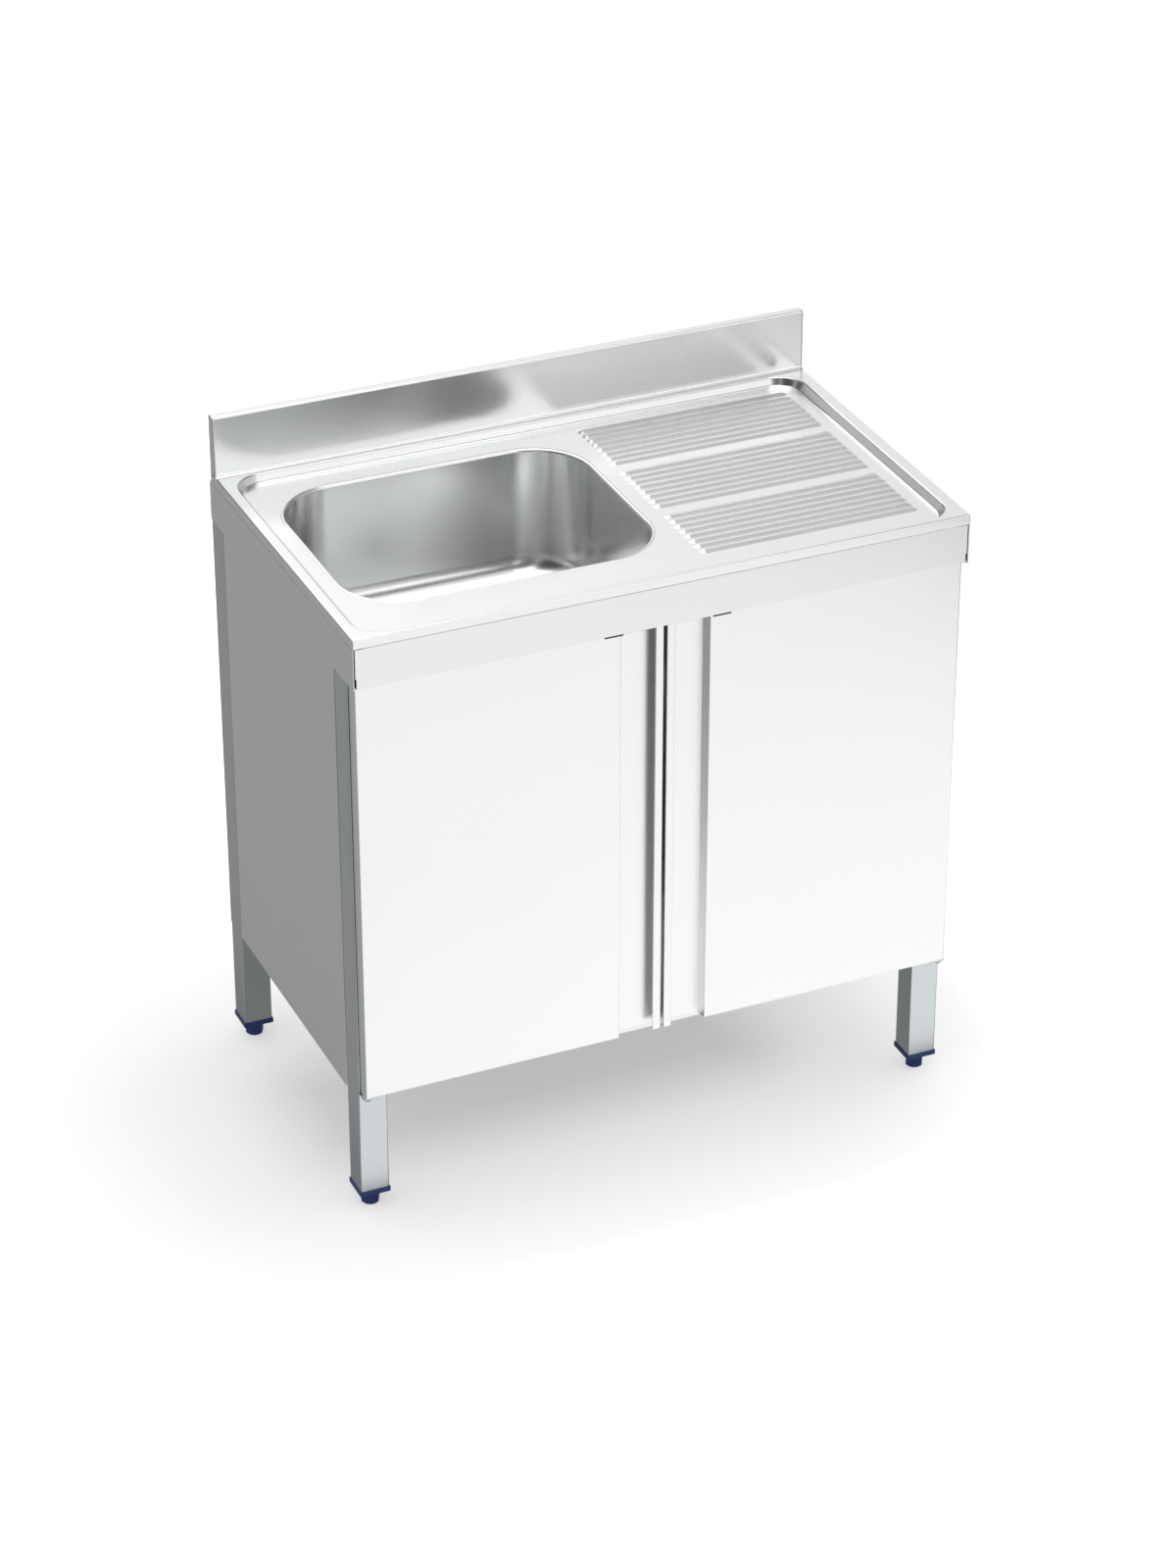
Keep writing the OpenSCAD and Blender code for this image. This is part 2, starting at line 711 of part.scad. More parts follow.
module bottom_shelf() {
    mid = panel_t / 2;
    x0 = leg_left + leg_w;
    front = leg_front + shelf_back;
    wing_y0 = leg_front + leg_w + 0.7 + 2 * panel_t;
    wing_y1 = leg_rear - side_slot - 2 * panel_t;
    color("silver") {
        translate([x0, 0, 0]) rotate([90, 0, 90]) linear_extrude(unit_w - 2 * x0)
            folded([[front + mid, shelf_z - shelf_h], [front + mid, shelf_z - mid, 1.5 * fold_r],
                [unit_d - panel_t - seat - mid, shelf_z - mid, 1.5 * fold_r],
                [unit_d - panel_t - seat - mid, shelf_z - shelf_h]], panel_t);
        for (m = [0, 1]) translate([m * unit_w, 0, 0]) mirror([m, 0, 0])
            translate([side_in + panel_t + seat, wing_y0, shelf_z - panel_t])
                cube([x0 - side_in - panel_t - seat, wing_y1 - wing_y0, panel_t]);
    }
}

module shelf_stiffener() {
    mid = panel_t / 2;
    z1 = shelf_z - panel_t - mid;
    long = unit_w - 2 * leg_left - 2 * leg_w;
    color("gray") translate([leg_left + leg_w, unit_d / 2, 0]) rotate([90, 0, 90]) linear_extrude(long)
        hat_section(hat_w, shelf_h - 4, z1);
}

// Left door: one sheet forms the outer edge, the face, the grip channel and its hemmed lip
module door_skin() {
    mid = panel_t / 2;
    hem_r = (panel_t + hem_gap) / 2 - 0.01;
    hem_y = door_in + panel_t + hem_gap;
    wall_x = grip_x - mid;
    inside = [[door_side + panel_t, skin_back], [door_side + panel_t, door_in + panel_t],
        [wall_x - 0.35, door_in + panel_t], [wall_x + grip_slant - 0.35, grip_y + 0.4],
        [wall_x + grip_slant - 0.35, skin_back]];
    color("silver") {
        translate([0, 0, door_z]) linear_extrude(door_top - door_z)
            folded([[door_side + mid, skin_back], [door_side + mid, door_in + mid, door_r - mid],
                [wall_x, door_in + mid, fold_r], [wall_x + grip_slant, grip_y + mid, fold_r],
                [door_free - mid, grip_y + mid, fold_r], [door_free - mid, door_in + mid, fold_r],
                [lip_x + mid, door_in + mid, hem_r], [lip_x + mid, hem_y + mid, hem_r],
                [lip_x + mid + hem_l, hem_y + mid]], panel_t);
        difference() {
            for (z = [door_z, door_top - panel_t])
                translate([0, 0, z]) linear_extrude(panel_t) polygon(inside);
            translate([pivot_cx, pivot_cy, door_z - past])
                cylinder(r = bush_out_r, h = door_top - door_z + 2 * past);
            translate([unit_w / 2 - catch_x - strike_w / 2, strike_y0, door_top - panel_t - past])
                cube([strike_w, strike_l, panel_t + 2 * past]);
        }
    }
}

module door_liner() {
    color("gray") translate([door_side, skin_back, door_z])
        cube([door_free - door_side, panel_t, door_top - door_z]);
}

module bush(z) {
    color("ivory") translate([pivot_cx, pivot_cy, z]) difference() {
        cylinder(r = bush_out_r, h = bush_l);
        translate([0, 0, -past]) cylinder(r = bush_in_r, h = bush_l + 2 * past);
    }
}

// Steel plate under the top of the door, with a pad that fills the window above it
module strike() {
    x = unit_w / 2 - catch_x;
    color("gainsboro") {
        translate([x - strike_w / 2 - strike_lap, strike_y0 - strike_lap / 2, door_top - panel_t - strike_t])
            cube([strike_w + 2 * strike_lap, strike_l + strike_lap, strike_t]);
        translate([x - strike_w / 2 + loose, strike_y0 + loose, door_top - panel_t])
            cube([strike_w - 2 * loose, strike_l - 2 * loose, panel_t - strike_low]);
    }
}

module top_hinge_plate() {
    y1 = leg_front - 4 * seat;
    x0 = side_in + 2 * panel_t + hem_gap / 2 + 2 * seat;
    color("silver") difference() {
        translate([x0, y1 - top_plate_l, apron_z + panel_t]) cube([top_plate_x1 - x0, top_plate_l, plate_t]);
        translate([pivot_cx, pivot_cy, apron_z]) cylinder(r = pin_r, h = plate_t + 2 * past);
        for (y = plate_screw_y) translate([plate_screw_x, y, apron_z])
            cylinder(r = screw_r, h = plate_t + 2 * past);
    }
}

module top_pivot_pin() {
    z0 = door_top - bush_l - past;
    z1 = apron_z + panel_t + plate_t;
    color("gray") translate([pivot_cx, pivot_cy, 0]) {
        translate([0, 0, z1]) cylinder(r = pin_r + 1.6, h = head_h);
        translate([0, 0, z0]) cylinder(r = pin_r, h = z1 - z0);
    }
}

module bottom_hinge_plate() {
    color("silver") difference() {
        translate([plate_x0, plate_y0, hinge_z]) cube([plate_x1 - plate_x0, leg_front - plate_y0, plate_t]);
        translate([pivot_cx, pivot_cy, hinge_z - past]) cylinder(r = pin_r, h = plate_t + 2 * past);
    }
}

module bottom_pivot_pin() {
    color("gray") translate([pivot_cx, pivot_cy, 0]) {
        translate([0, 0, hinge_z - head_h]) cylinder(r = pin_r + 2, h = head_h);
        translate([0, 0, hinge_z]) cylinder(r = pin_r, h = door_z + bush_l + past - hinge_z);
    }
}

module thrust_washer() {
    color("ivory") translate([pivot_cx, pivot_cy, hinge_z + plate_t]) difference() {
        cylinder(r = washer_r, h = washer_t);
        translate([0, 0, -past]) cylinder(r = pin_r, h = washer_t + 2 * past);
    }
}

// Black magnetic catch that sits on the apron flange and reaches down through its notch
module catch_body() {
    x = unit_w / 2 - catch_x;
    y = catch_y0 + panel_t + loose;
    color("black") difference() {
        union() {
            translate([x - catch_w / 2, y, apron_z - catch_drop])
                cube([catch_w, catch_l + catch_y0 - y, catch_h + catch_drop]);
            translate([x - catch_w / 2 - ear_l, y + 4, apron_z + panel_t])
                cube([catch_w + 2 * ear_l, catch_l - 8, ear_h]);
        }
        for (s = [-1, 1]) translate([x + s * (catch_w + ear_l) / 2, catch_y0 + catch_l / 2, apron_z])
            cylinder(r = catch_screw_r, h = panel_t + ear_h + past);
    }
}

module catch_screws() {
    for (c = [unit_w / 2 - catch_x, unit_w / 2 + catch_x], s = [-1, 1])
        color("gray") translate([c + s * (catch_w + ear_l) / 2, catch_y0 + catch_l / 2, 0]) {
            translate([0, 0, apron_z - 1]) cylinder(r = 2.6, h = 1);
            translate([0, 0, apron_z]) cylinder(r = catch_screw_r, h = panel_t + ear_h + 0.6);
        }
}

module hinge_plate_screws() {
    z1 = apron_z + panel_t + plate_t;
    for (x = [plate_screw_x, unit_w - plate_screw_x], y = plate_screw_y)
        color("gray") translate([x, y, 0]) {
            translate([0, 0, z1]) cylinder(r = screw_head_r, h = screw_head_h);
            translate([0, 0, apron_z]) cylinder(r = screw_r, h = z1 - apron_z);
        }
}

// Soft pads on the folded front edge of the shelf, one behind each door
module door_buffers() {
    long = leg_front + shelf_back - door_back - seat;
    for (x = [unit_w / 2 - buffer_x, unit_w / 2 + buffer_x])
        color("black") translate([x, door_back + seat, shelf_z - buffer_low]) rotate([-90, 0, 0])
            cylinder(r = buffer_r, h = long);
}

set_about_middle() worktop();
set_about_middle() splash_end_cap();  // splash_end_cap_left
set_about_middle() across() splash_end_cap();  // splash_end_cap_right
set_about_middle() bowl();
set_about_middle() waste_flange();
set_about_middle() waste_gasket();
set_about_middle() waste_nut();
set_about_middle() waste_tailpiece();
set_about_middle() waste_plug();
set_about_middle() drainer_stiffeners();
set_about_middle() leg();  // leg_front_left
set_about_middle() across() leg();  // leg_front_right
set_about_middle() front_to_back() leg();  // leg_rear_left
set_about_middle() across() front_to_back() leg();  // leg_rear_right
set_about_middle() foot_cap();  // foot_cap_front_left
set_about_middle() across() foot_cap();  // foot_cap_front_right
set_about_middle() front_to_back() foot_cap();  // foot_cap_rear_left
set_about_middle() across() front_to_back() foot_cap();  // foot_cap_rear_right
set_about_middle() levelling_foot();  // levelling_foot_front_left
set_about_middle() across() levelling_foot();  // levelling_foot_front_right
set_about_middle() front_to_back() levelling_foot();  // levelling_foot_rear_left
set_about_middle() across() front_to_back() levelling_foot();  // levelling_foot_rear_right
set_about_middle() top_rail_front();
set_about_middle() top_rail_rear();
set_about_middle() top_rail_side();  // top_rail_left
set_about_middle() across() top_rail_side();  // top_rail_right
set_about_middle() front_apron();
set_about_middle() side_panel();  // side_panel_left
set_about_middle() across() side_panel();  // side_panel_right
set_about_middle() back_panel();
set_about_middle() bottom_shelf();
set_about_middle() shelf_stiffener();
set_about_middle() door_skin();  // left_door_skin
set_about_middle() door_liner();  // left_door_liner
set_about_middle() across() door_skin();  // right_door_skin
set_about_middle() across() door_liner();  // right_door_liner
set_about_middle() bush(door_top - bush_l);  // left_door_top_bush
set_about_middle() bush(door_z);  // left_door_bottom_bush
set_about_middle() across() bush(door_top - bush_l);  // right_door_top_bush
set_about_middle() across() bush(door_z);  // right_door_bottom_bush
set_about_middle() strike();  // left_strike
set_about_middle() across() strike();  // right_strike
set_about_middle() top_hinge_plate();  // top_hinge_plate_left
set_about_middle() across() top_hinge_plate();  // top_hinge_plate_right
set_about_middle() bottom_hinge_plate();  // bottom_hinge_plate_left
set_about_middle() across() bottom_hinge_plate();  // bottom_hinge_plate_right
set_about_middle() top_pivot_pin();  // top_pivot_pin_left
set_about_middle() across() top_pivot_pin();  // top_pivot_pin_right
set_about_middle() bottom_pivot_pin();  // bottom_pivot_pin_left
set_about_middle() across() bottom_pivot_pin();  // bottom_pivot_pin_right
set_about_middle() thrust_washer();  // thrust_washer_left
set_about_middle() across() thrust_washer();  // thrust_washer_right
set_about_middle() catch_body();  // catch_left
set_about_middle() across() catch_body();  // catch_right
set_about_middle() catch_screws();
set_about_middle() hinge_plate_screws();
set_about_middle() door_buffers();
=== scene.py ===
# Stainless steel sink unit: smooth pressed worktop and bowl, and finishes for every piece
import json
import math

import bmesh
import bpy
import numpy as np
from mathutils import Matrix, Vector
from mathutils.geometry import delaunay_2d_cdt


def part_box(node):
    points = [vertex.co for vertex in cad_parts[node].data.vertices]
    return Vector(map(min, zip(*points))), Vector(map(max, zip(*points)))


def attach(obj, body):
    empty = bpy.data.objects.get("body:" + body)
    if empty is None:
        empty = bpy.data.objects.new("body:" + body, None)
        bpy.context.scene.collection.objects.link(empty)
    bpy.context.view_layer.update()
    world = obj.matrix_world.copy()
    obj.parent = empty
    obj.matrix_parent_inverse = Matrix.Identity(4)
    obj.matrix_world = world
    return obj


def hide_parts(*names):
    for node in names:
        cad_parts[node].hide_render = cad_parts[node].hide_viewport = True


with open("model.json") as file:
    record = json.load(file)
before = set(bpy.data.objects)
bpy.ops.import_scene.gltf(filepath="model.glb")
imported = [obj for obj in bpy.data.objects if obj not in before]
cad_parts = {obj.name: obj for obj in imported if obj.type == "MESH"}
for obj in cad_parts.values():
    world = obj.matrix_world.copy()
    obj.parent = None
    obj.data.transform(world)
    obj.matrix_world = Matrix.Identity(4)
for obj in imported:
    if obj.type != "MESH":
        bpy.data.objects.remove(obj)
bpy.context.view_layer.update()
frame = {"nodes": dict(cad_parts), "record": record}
print("frame loaded:", len(frame["nodes"]), "nodes")

mm = 0.001
scene = bpy.context.scene
scene.view_settings.view_transform = "Standard"

# Camera of the photograph
camera = {
    "place": (-2.0772, -4.7136, 3.4004),
    "looksAt": (-0.0011, -0.0075, 0.4342),
    "lens": 101.8,
    "sensor": 36.0,
}
camData = bpy.data.cameras.new("photoCamera")
camData.lens = camera["lens"]
camData.sensor_width = camera["sensor"]
camData.clip_end = 60.0
camObject = bpy.data.objects.new("photoCamera", camData)
scene.collection.objects.link(camObject)
camObject.location = camera["place"]
camLook = Vector(camera["looksAt"]) - Vector(camera["place"])
camObject.rotation_mode = "QUATERNION"
camObject.rotation_quaternion = camLook.to_track_quat("-Z", "Y")
scene.camera = camObject
print("camera set")


def hexColour(text, alpha=1.0):  # sRGB hex to linear
    parts = [int(text[i:i + 2], 16) / 255 for i in (1, 3, 5)]
    return tuple(p / 12.92 if p <= 0.04045 else ((p + 0.055) / 1.055) ** 2.4 for p in parts) + (alpha,)


def addNode(tree, kind, settings=None, **links):  # a link is a socket, or a value for the input of that name
    node = tree.nodes.new(kind)
    for key, value in (settings or {}).items():
        setattr(node, key, value)
    for key, value in links.items():
        numbered = key[0] == "i" and key[1:].isdigit()
        socket = node.inputs[int(key[1:]) if numbered else key.replace("_", " ")]
        if isinstance(value, bpy.types.NodeSocket):
            tree.links.new(value, socket)
        else:
            socket.default_value = value
    return node


def newMaterial(name):
    material = bpy.data.materials.new(name)
    material.use_nodes = True
    tree = material.node_tree
    tree.nodes.clear()
    return material, tree


def closeMaterial(tree, surface):
    addNode(tree, "ShaderNodeOutputMaterial", None, Surface=surface.outputs[0])


# Satin stainless steel, cold rolled and brushed: a blurred mirror with very fine streaks along the sheet
def satinSteel(name, colour, rough, grain, streak=0.02, edge=0.8, relief=0.006):
    material, tree = newMaterial(name)
    place = addNode(tree, "ShaderNodeTexCoord")
    # streaks are drawn 0.8 mm wide and 60 mm long, coarser than real grit, so that they show
    across, along = 1 / (0.8 * mm), 1 / (60 * mm)
    scale = {"x": (along, across, across), "y": (across, along, across), "z": (across, across, along)}[grain]
    mapped = addNode(tree, "ShaderNodeMapping", None, Vector=place.outputs["Object"], Scale=scale)
    streaks = addNode(tree, "ShaderNodeTexNoise", None, Vector=mapped.outputs[0], Scale=1.0, Detail=2.0)
    clouds = addNode(tree, "ShaderNodeTexNoise", None, Vector=place.outputs["Object"],
                     Scale=1 / (140 * mm), Detail=2.0)
    mixed = addNode(tree, "ShaderNodeMath", {"operation": "ADD"}, i0=streaks.outputs[0], i1=clouds.outputs[0])
    roughness = addNode(tree, "ShaderNodeMapRange", None, Value=mixed.outputs[0],
                        From_Min=0.6, From_Max=1.4, To_Min=rough - streak, To_Max=rough + streak)
    rounded = addNode(tree, "ShaderNodeBevel", {"samples": 4}, Radius=edge * mm)
    bump = addNode(tree, "ShaderNodeBump", None, Height=streaks.outputs[0], Strength=relief,
                   Distance=0.05 * mm, Normal=rounded.outputs[0])
    steel = addNode(tree, "ShaderNodeBsdfPrincipled", None, Base_Color=hexColour(colour), Metallic=1.0,
                    Roughness=roughness.outputs[0], Normal=bump.outputs[0])
    closeMaterial(tree, steel)
    return material


# Moulded plastic and rubber: a dull coloured skin with a faint moulded grain
def mouldedPlastic(name, colour, rough, grain=0.6):
    material, tree = newMaterial(name)
    place = addNode(tree, "ShaderNodeTexCoord")
    specks = addNode(tree, "ShaderNodeTexNoise", None, Vector=place.outputs["Object"],
                     Scale=1 / (grain * mm), Detail=1.0)
    rounded = addNode(tree, "ShaderNodeBevel", {"samples": 4}, Radius=0.6 * mm)
    bump = addNode(tree, "ShaderNodeBump", None, Height=specks.outputs[0], Strength=0.1, Distance=0.05 * mm,
                   Normal=rounded.outputs[0])
    roughness = addNode(tree, "ShaderNodeMapRange", None, Value=specks.outputs[0], From_Min=0.3, From_Max=0.7,
                        To_Min=rough - 0.05, To_Max=rough + 0.05)
    plastic = addNode(tree, "ShaderNodeBsdfPrincipled", None, Base_Color=hexColour(colour),
                      Roughness=roughness.outputs[0], Normal=bump.outputs[0])
    closeMaterial(tree, plastic)
    return material


finishes = {
    "worktopSteel": satinSteel("satin steel worktop", "#E6E7E7", 0.24, "x", relief=0.002),
    "bowlSteel": satinSteel("satin steel bowl", "#E8E9E9", 0.24, "x", relief=0.002),
    "cabinetSteel": satinSteel("satin steel sheet", "#E5E5E4", 0.30, "z"),
    "doorSteel": satinSteel("satin steel door", "#EAEBEB", 0.30, "z"),
    "tubeSteel": satinSteel("satin steel tube", "#C4C9CB", 0.30, "z"),
    # The dark grey of this steel is painted shade, set for the hinge plates and pins that sit in shadow under the
    # doors
    "platedSteelPaintedShade": satinSteel("plated steel", "#77787A", 0.28, "z", edge=0.3),
    "blueNylon": mouldedPlastic("blue nylon", "#22376E", 0.40),
    "blackPlastic": mouldedPlastic("black plastic", "#0C0C0D", 0.45),
    "blackRubber": mouldedPlastic("black rubber", "#121212", 0.65),
    "whitePlastic": mouldedPlastic("white plastic", "#E2E2DC", 0.40),
}
slotFinish = {
    "worktop_steel": "worktopSteel", "bowl_steel": "bowlSteel", "cabinet_steel": "cabinetSteel",
    "door_steel": "doorSteel", "frame_steel": "tubeSteel", "bright_steel": "platedSteelPaintedShade",
    "blue_plastic": "blueNylon", "black_plastic": "blackPlastic", "black_rubber": "blackRubber",
    "white_plastic": "whitePlastic",
}
for entry in frame["record"]["subparts"]:
    mesh = frame["nodes"][entry["node"]].data
    mesh.materials.clear()
    mesh.materials.append(finishes[slotFinish[entry["material_slot"]]])
print("finishes set:", len(finishes))


# Grid of quads over nu by nv points, row by row
def gridFaces(nu, nv, first=0, closed=False):
    i = np.arange(nu if closed else nu - 1)
    j = np.arange(nv - 1)
    a, b = np.meshgrid(i, j, indexing="ij")
    nextA = (a + 1) % nu
    quads = np.stack([a * nv + b, nextA * nv + b, nextA * nv + b + 1, a * nv + b + 1], axis=-1)
    return (quads.reshape(-1, 4) + first).tolist()


# Round rectangle: centre of the corner arc and unit vector outwards for every point of the outline
def roundLoop(x0, y0, x1, y1, radii, steps):
    centres, outs = [], []
    corners = ((x0, y0, 180), (x1, y0, 270), (x1, y1, 0), (x0, y1, 90))
    for (x, y, start), r in zip(corners, radii):
        angle = np.radians(start + np.linspace(0, 90, steps + 1))
        out = np.stack([np.cos(angle), np.sin(angle)], axis=1)
        hub = np.array([x + (r if x == x0 else -r), y + (r if y == y0 else -r)])
        centres.append(hub + out * r)
        outs.append(out)
    return np.concatenate(centres), np.concatenate(outs)


# Arc from angle a0 to a1 about (cx, cz): (cx + r cos a, cz + r sin a)
def arc(cx, cz, r, a0, a1, steps):
    a = np.radians(np.linspace(a0, a1, steps + 1))
    return np.stack([cx + r * np.cos(a), cz + r * np.sin(a)], axis=1)


# Wall swept round an outline: each outline point is moved outwards by the profile's offset and set at its height
def sweptWall(points, outs, profile):
    ring = points[:, None, :] + outs[:, None, :] * profile[None, :, :1]
    height = np.broadcast_to(profile[None, :, 1:], ring.shape[:2] + (1,))
    return np.concatenate([ring, height], axis=2).reshape(-1, 3)


# Flat sheet at one height between closed outlines, the first outside and the others holes
def flatSheet(loops, z):
    spots, outlines = [], []
    for loop in loops:
        outlines.append(list(range(len(spots), len(spots) + len(loop))))
        spots += [Vector((float(x), float(y))) for x, y in loop]
    verts, _, faces, _, _, _ = delaunay_2d_cdt(spots, [], outlines, 5, 1e-9)
    return np.array([(v.x, v.y, z) for v in verts]), [list(f) for f in faces]


class Sheet:  # gathers grids and flat sheets into one mesh
    def __init__(self):
        self.points, self.faces, self.count = [], [], 0

    def add(self, points, faces):
        self.points.append(np.asarray(points, float))
        self.faces += [[k + self.count for k in f] for f in faces]
        self.count += len(points)

    def addGrid(self, points, nu, nv, closed=False):
        self.add(points, gridFaces(nu, nv, 0, closed))

    def build(self, name, material, thickness, upFace, sharp=35.0):
        points = np.concatenate(self.points) * mm
        mesh = bpy.data.meshes.new(name)
        mesh.from_pydata(points.tolist(), [], self.faces)
        work = bmesh.new()
        work.from_mesh(mesh)
        bmesh.ops.remove_doubles(work, verts=work.verts, dist=2e-6)
        bmesh.ops.dissolve_degenerate(work, edges=work.edges, dist=1e-7)
        bmesh.ops.recalc_face_normals(work, faces=work.faces)
        work.faces.ensure_lookup_table()
        near = min(work.faces, key=lambda f: (f.calc_center_median() - Vector(upFace) * mm).length)
        if near.normal.z < 0:
            bmesh.ops.reverse_faces(work, faces=work.faces)
        work.to_mesh(mesh)
        work.free()
        mesh.materials.append(material)
        mesh.shade_smooth()
        mesh.set_sharp_from_angle(angle=math.radians(sharp))
        piece = bpy.data.objects.new(name, mesh)
        scene.collection.objects.link(piece)
        if thickness:
            wall = piece.modifiers.new("thickness", "SOLIDIFY")
            wall.thickness = thickness * mm
            wall.offset = -1.0
            wall.use_even_offset = True
            wall.use_quality_normals = True
        even = piece.modifiers.new("flat faces stay flat", "WEIGHTED_NORMAL")
        even.keep_sharp = True
        return piece


low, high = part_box("worktop")
unitLeft, unitFront, unitRear = low.x / mm, low.y / mm, high.y / mm
unitWidth = (high.x - low.x) / mm

worktop = {
    "rimHeight": 865.0, "edgeDrop": 14.0, "edgeRound": 2.5, "foldWidth": 14.0, "thickness": 1.2,
    "trayLeft": 15.5, "trayRight": 19.0, "trayFront": 7.0, "trayRear": 480.0,
    "trayDepth": 11.0, "trayRun": 6.5, "trayCorners": (40.0, 40.0, 40.0, 40.0), "topRound": 3.0, "footRound": 4.5,
    "upstandFront": 491.4, "upstandTop": 950.0, "upstandBaseRound": 4.0, "upstandTopRound": 3.0,
    "edgeFootRound": 1.5, "rimSeam": 3.5, "floorSeam": 4.5, "cornerSteps": 24,
}
bowl = {
    "left": 45.4, "front": 86.8, "width": 427.7, "length": 348.1, "corner": 85.0,
    "depth": 185.0, "lip": 4.0, "footHeight": 30.0, "crease": 15.0, "seamOut": 2.0, "floorSeam": 4.0,
    "wasteHole": 24.7, "holeStep": 7.5, "sharpFrom": 7.0, "cornerSteps": 32,
}
drainer = {
    "left": 496.0, "right": 805.0, "middle": 256.5, "pitch": 15.1, "width": 15.1, "height": 2.0, "crestSoft": 0.2,
    "inGroup": 8, "groups": 3, "groupPitch": 138.5, "step": 0.75, "endSteps": 14, "spans": 12, "border": 5.0,
}


def fromCorner(points):  # from the unit's front left corner to the frame
    return np.asarray(points, float) + (unitLeft, unitFront, 0.0)


# Section of the tray's step: flat rim, round edge, slope, round foot, flat floor
def stepProfile(w, out, inside):
    slope = math.atan2(w["trayDepth"], w["trayRun"])
    turn = math.degrees(slope)
    z0, z1 = w["rimHeight"], w["rimHeight"] - w["trayDepth"]
    cutTop = w["topRound"] * math.tan(slope / 2)
    cutFoot = w["footRound"] * math.tan(slope / 2)
    return np.concatenate([
        [(out, z0)],
        arc(cutTop, z0 - w["topRound"], w["topRound"], 90, 90 + turn, 8),
        arc(-w["trayRun"] - cutFoot, z1 + w["footRound"], w["footRound"], turn - 90, -90, 8),
        [(-w["trayRun"] - inside, z1)],
    ])


# Height of the drainer: each rib has two straight flanks, a round crest and cone ends
def ribHeight(x, y, d):
    half, soft = d["width"] / 2, d["crestSoft"]
    x0, x1 = d["left"] + half, d["right"] - half
    alongGap = np.maximum(np.maximum(x0 - x, x - x1), 0)
    z = np.zeros(np.broadcast(x, y).shape)
    for g in range(d["groups"]):
        for i in range(d["inGroup"]):
            mid = d["middle"] + (g - (d["groups"] - 1) / 2) * d["groupPitch"]
            mid += (i - (d["inGroup"] - 1) / 2) * d["pitch"]
            away = np.minimum(np.sqrt(alongGap ** 2 + (y - mid) ** 2) / half, 1.0)
            fall = (np.sqrt(away ** 2 + soft ** 2) - soft) / (math.sqrt(1 + soft ** 2) - soft)
            z = np.maximum(z, d["height"] * (1 - fall))
    return z


w, b, d = worktop, bowl, drainer
trayZ = w["rimHeight"] - w["trayDepth"]
edgeZ = w["rimHeight"] - w["edgeDrop"]
top = Sheet()
trayPoints, trayOuts = roundLoop(w["trayLeft"], w["trayFront"], unitWidth - w["trayRight"], w["trayRear"],
                                 w["trayCorners"], w["cornerSteps"])
profile = stepProfile(w, w["rimSeam"], w["floorSeam"])
top.addGrid(fromCorner(sweptWall(trayPoints, trayOuts, profile)), len(trayPoints), len(profile), closed=True)

# Turned-down edge along the left, the front and the right
r = w["edgeRound"]
splashStart = w["upstandFront"] - w["upstandBaseRound"]
rear = unitRear - unitFront
quarter = np.radians(np.linspace(0, 90, 7))
spots = [(r, rear), (r, splashStart)] + [(r, r)] * 7 + [(unitWidth - r, r)] * 7
spots += [(unitWidth - r, splashStart), (unitWidth - r, rear)]
turns = [(-1, 0), (-1, 0)] + list(zip(-np.cos(quarter), -np.sin(quarter)))
turns += list(zip(np.sin(quarter), -np.cos(quarter))) + [(1, 0), (1, 0)]
edgeFoot = w["edgeFootRound"]
edgeProfile = np.concatenate([
    arc(0, w["rimHeight"] - r, r, 90, 0, 6),
    arc(r - edgeFoot, edgeZ + edgeFoot, edgeFoot, 0, -90, 4),
    [(0, edgeZ)],
])
edge = sweptWall(np.array(spots, float), np.array(turns, float), edgeProfile)
top.addGrid(fromCorner(edge), len(spots), len(edgeProfile))
fold = w["foldWidth"]
foldLoop = [(r, rear), (r, splashStart), (r, r), (unitWidth - r, r), (unitWidth - r, splashStart),
            (unitWidth - r, rear), (unitWidth - fold, rear), (unitWidth - fold, fold), (fold, fold), (fold, rear)]
points, faces = flatSheet([foldLoop], edgeZ)
top.add(fromCorner(points), faces)

# Rim between the edge and the tray
rimLoop = [(r, splashStart), (r, r), (unitWidth - r, r), (unitWidth - r, splashStart)]
points, faces = flatSheet([rimLoop, trayPoints + trayOuts * w["rimSeam"]], w["rimHeight"])
top.add(fromCorner(points), faces)

# Upstand: up in front, over the top and down behind
base, crown = w["upstandBaseRound"], w["upstandTopRound"]
topZ = w["upstandTop"]
splash = np.concatenate([
    arc(w["upstandFront"] - base, w["rimHeight"] + base, base, -90, 0, 8),
    arc(w["upstandFront"] + crown, topZ - crown, crown, 180, 90, 8),
    arc(rear - crown, topZ - crown, crown, 90, 0, 8),
    arc(rear - r, edgeZ + r, r, 0, -90, 5),
    [(w["upstandFront"] + w["thickness"] * 2, edgeZ)],
])
stations = np.array([0, r, unitWidth - r, unitWidth])
count = len(stations)
splashPoints = np.stack([np.repeat(stations, len(splash)), np.tile(splash[:, 0], count),
                         np.tile(splash[:, 1], count)], axis=1)
top.addGrid(fromCorner(splashPoints), count, len(splash))

